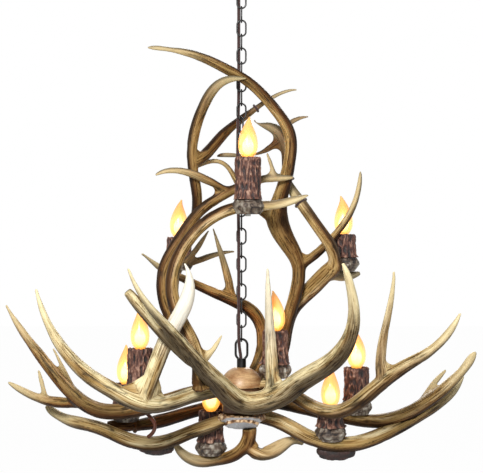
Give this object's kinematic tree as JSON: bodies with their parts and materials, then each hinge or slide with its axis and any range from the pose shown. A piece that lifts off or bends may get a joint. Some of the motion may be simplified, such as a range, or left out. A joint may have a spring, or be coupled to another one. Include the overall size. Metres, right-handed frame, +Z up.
{
  "type": "antler chandelier",
  "caption": "Ceiling light of interlaced cast antlers on a central hub, with flame-shaped candle lamps, hung by a black chain and cord from a round canopy.",
  "frame": {"origin": "centre of the canopy's face on the ceiling", "axes": "+Z up along the chain, +X to the viewer's right, -Y to the viewer"},
  "size_m": [0.9035, 0.6058, 0.9786],
  "materials": {
    "antler_tan": "matte, cast resin",
    "antler_dark": "matte, cast resin",
    "cup_resin": "rough, cast resin",
    "bark_resin": "bark relief, cast resin",
    "black_metal": "satin",
    "zinc_steel": "zinc plated",
    "cap_wood": "smooth",
    "block_wood": "dull",
    "socket_black": "moulded",
    "brass_shell": "plain",
    "cord_cloth": "braided",
    "bulb_glass": "clear, lit"
  },
  "bodies": {
    "ceiling": {"canopy": "black_metal", "canopy_crossbar": "zinc_steel", "canopy_locknuts": "zinc_steel", "canopy_nipple": "zinc_steel"},
    "loop": {"canopy_loop": "black_metal"},
    "chain": {"chain_links": "black_metal", "supply_cord": "cord_cloth"},
    "fixture": {"hub_loop": "black_metal", "hub_nipple": "zinc_steel", "hub_cap": "cap_wood", "hub_block": "block_wood", "hub_rosette": "antler_tan", "antler_front_bow": "antler_tan", "antler_left_front": "antler_tan", "antler_left_middle": "antler_tan", "antler_left_low": "antler_tan", "antler_left_rear": "antler_tan", "antler_right_front": "antler_tan", "antler_right_middle": "antler_tan", "antler_right_low": "antler_tan", "antler_bottom": "antler_tan", "antler_rear_bow": "antler_tan", "antler_front_arch": "antler_tan", "antler_second_arch": "antler_tan", "antler_left_arch": "antler_tan", "antler_top_arch": "antler_tan", "antler_top_fork": "antler_dark", "antler_right_upper": "antler_tan", "antler_left_cross": "antler_tan", "antler_left_upper": "antler_tan", "candle_cups": "cup_resin", "candle_sleeves": "bark_resin", "lamp_sockets": "socket_black", "socket_shells": "brass_shell", "socket_pipes": "zinc_steel"},
    "lamp_1": {"bulb_1": "bulb_glass", "bulb_cap_1": "brass_shell"},
    "lamp_2": {"bulb_2": "bulb_glass", "bulb_cap_2": "brass_shell"},
    "lamp_3": {"bulb_3": "bulb_glass", "bulb_cap_3": "brass_shell"},
    "lamp_4": {"bulb_4": "bulb_glass", "bulb_cap_4": "brass_shell"},
    "lamp_5": {"bulb_5": "bulb_glass", "bulb_cap_5": "brass_shell"},
    "lamp_6": {"bulb_6": "bulb_glass", "bulb_cap_6": "brass_shell"},
    "lamp_7": {"bulb_7": "bulb_glass", "bulb_cap_7": "brass_shell"},
    "lamp_8": {"bulb_8": "bulb_glass", "bulb_cap_8": "brass_shell"},
    "lamp_9": {"bulb_9": "bulb_glass", "bulb_cap_9": "brass_shell"}
  },
  "joints": [
    {"name": "loop_turn", "type": "hinge", "parent": "ceiling", "child": "loop", "pos_m": [0, 0, -0.03], "axis": [0, 0, 1], "range_deg": [-90, 90]},
    {"name": "chain_sway", "type": "hinge", "parent": "loop", "child": "chain", "pos_m": [0, 0, -0.0721], "axis": [1, 0, 0], "range_deg": [-6, 6], "deforming": ["supply_cord"]},
    {"name": "fixture_tilt", "type": "hinge", "parent": "chain", "child": "fixture", "pos_m": [0, 0, -0.7397], "axis": [0, 1, 0], "range_deg": [-6, 3.5], "deforming": ["supply_cord"]},
    {"name": "bulb_1_turn", "type": "hinge", "parent": "fixture", "child": "lamp_1", "pos_m": [0.01164, -0.088, -0.42735], "axis": [0, 0, 1], "continuous": true},
    {"name": "bulb_2_turn", "type": "hinge", "parent": "fixture", "child": "lamp_2", "pos_m": [-0.12076, 0.111, -0.57064], "axis": [0, 0, 1], "continuous": true},
    {"name": "bulb_3_turn", "type": "hinge", "parent": "fixture", "child": "lamp_3", "pos_m": [0.19323, 0.058, -0.56494], "axis": [0, 0, 1], "continuous": true},
    {"name": "bulb_4_turn", "type": "hinge", "parent": "fixture", "child": "lamp_4", "pos_m": [-0.18729, -0.011, -0.77542], "axis": [0, 0, 1], "continuous": true},
    {"name": "bulb_5_turn", "type": "hinge", "parent": "fixture", "child": "lamp_5", "pos_m": [-0.2188, 0.058, -0.8472], "axis": [0, 0, 1], "continuous": true},
    {"name": "bulb_6_turn", "type": "hinge", "parent": "fixture", "child": "lamp_6", "pos_m": [-0.05713, 0.028, -0.89464], "axis": [0, 0, 1], "continuous": true},
    {"name": "bulb_7_turn", "type": "hinge", "parent": "fixture", "child": "lamp_7", "pos_m": [0.06252, -0.02, -0.7416], "axis": [0, 0, 1], "continuous": true},
    {"name": "bulb_8_turn", "type": "hinge", "parent": "fixture", "child": "lamp_8", "pos_m": [0.21482, 0.021, -0.81345], "axis": [0, 0, 1], "continuous": true},
    {"name": "bulb_9_turn", "type": "hinge", "parent": "fixture", "child": "lamp_9", "pos_m": [0.16365, -0.02, -0.88135], "axis": [0, 0, 1], "continuous": true}
  ]
}
